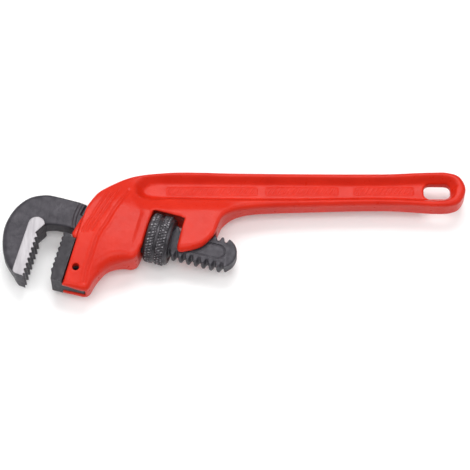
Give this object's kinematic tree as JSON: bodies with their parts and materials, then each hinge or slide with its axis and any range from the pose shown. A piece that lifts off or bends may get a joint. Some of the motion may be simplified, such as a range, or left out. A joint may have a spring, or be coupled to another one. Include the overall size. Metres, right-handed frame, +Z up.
{
  "type": "pipe wrench",
  "caption": "End-pattern pipe wrench: ribbed red cast handle, threaded hook jaw moved by a knurled nut, and a toothed heel jaw held by a pin.",
  "frame": {"origin": "centre of the bounding box at its lowest level, with the wrench lying on its side", "axes": "+X along the handle towards its hanging hole, +Y towards the back of the wrench, +Z up through its thickness"},
  "size_m": [0.2514, 0.0704, 0.0272],
  "materials": {
    "red_enamel": "glossy enamel over rough casting",
    "black_steel": "black oxide over forged steel",
    "bright_steel": "ground bright steel",
    "spring_steel": "satin blued spring steel"
  },
  "bodies": {
    "handle_body": {"handle": "red_enamel", "heel_jaw": "black_steel", "heel_jaw_pin": "spring_steel", "coil_spring": "spring_steel", "spring_pin": "spring_steel"},
    "rocker": {"leaf_spring": "spring_steel"},
    "nut": {"adjusting_nut": "black_steel"},
    "hook": {"hook_jaw": "black_steel"}
  },
  "joints": [
    {"name": "jaw_rock", "type": "hinge", "parent": "handle_body", "child": "rocker", "pos_m": [-0.04746, -0.00133, 0.0136], "axis": [0, 0, -1], "range_deg": [0, 2.5], "stiffness_Nm_per_rad": 4, "springref_deg": -2.29},
    {"name": "nut_spin", "type": "hinge", "parent": "rocker", "child": "nut", "pos_m": [-0.04052, -0.00326, 0.0136], "axis": [0.9636, -0.2672, 0], "range_deg": [-1006, 2130]},
    {"name": "hook_slide", "type": "slide", "parent": "rocker", "child": "hook", "axis": [-0.9636, 0.2672, 0], "range_m": [-0.0118, 0.025]}
  ],
  "couplings": [
    {"joint": "nut_spin", "follows": "hook_slide", "rad_per_m": 1484.2}
  ]
}
